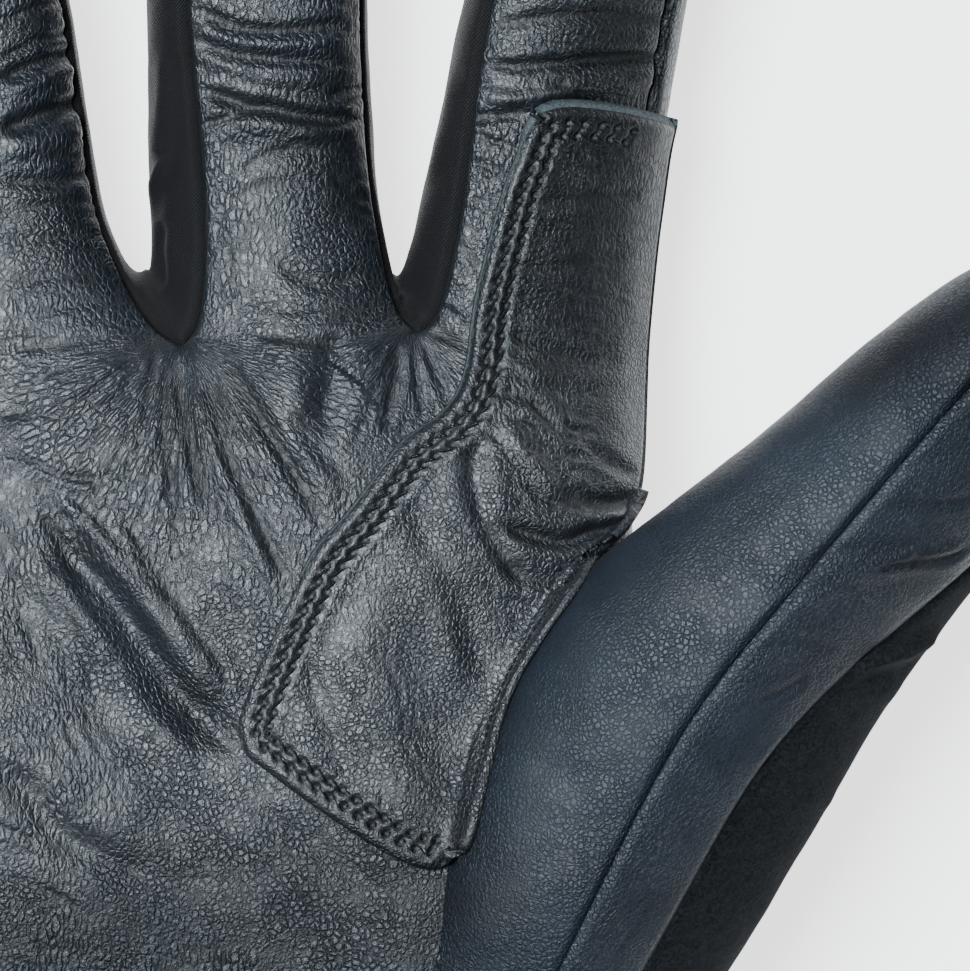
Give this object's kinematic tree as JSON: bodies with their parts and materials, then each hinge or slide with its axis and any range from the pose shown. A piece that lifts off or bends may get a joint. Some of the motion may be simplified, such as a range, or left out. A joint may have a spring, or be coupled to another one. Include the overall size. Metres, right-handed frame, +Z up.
{
  "type": "climbing glove",
  "caption": "Right-hand leather climbing glove lying palm up, with a stitched wear patch from the index finger into the palm, stretch finger gussets and a fleece back.",
  "frame": {"origin": "middle of the flat of the glove's back, which it rests on", "axes": "+Z up out of the palm, +Y towards the fingertips, +X towards the thumb"},
  "size_m": [0.1811, 0.2441, 0.0429],
  "materials": {
    "navy_leather": "semi-gloss blue-grey leather with a fine pebble grain and creases",
    "patch_leather": "semi-gloss blue-grey leather, double zigzag stitching",
    "stretch_cloth": "smooth black stretch cloth, slight sheen",
    "fleece": "matt charcoal fleece with a short nap",
    "cuff_cloth": "matt black cloth",
    "binding": "matt black tape"
  },
  "bodies": {
    "root": {"palm_leather": "navy_leather", "index_patch": "patch_leather", "index_side": "navy_leather", "fourchette_index_middle": "stretch_cloth", "fourchette_middle_ring": "stretch_cloth", "fourchette_ring_little": "stretch_cloth", "thumb_front": "navy_leather", "thumb_side": "navy_leather", "thumb_back": "fleece", "back_fleece": "fleece", "cuff": "cuff_cloth", "cuff_binding": "binding"}
  },
  "joints": []
}
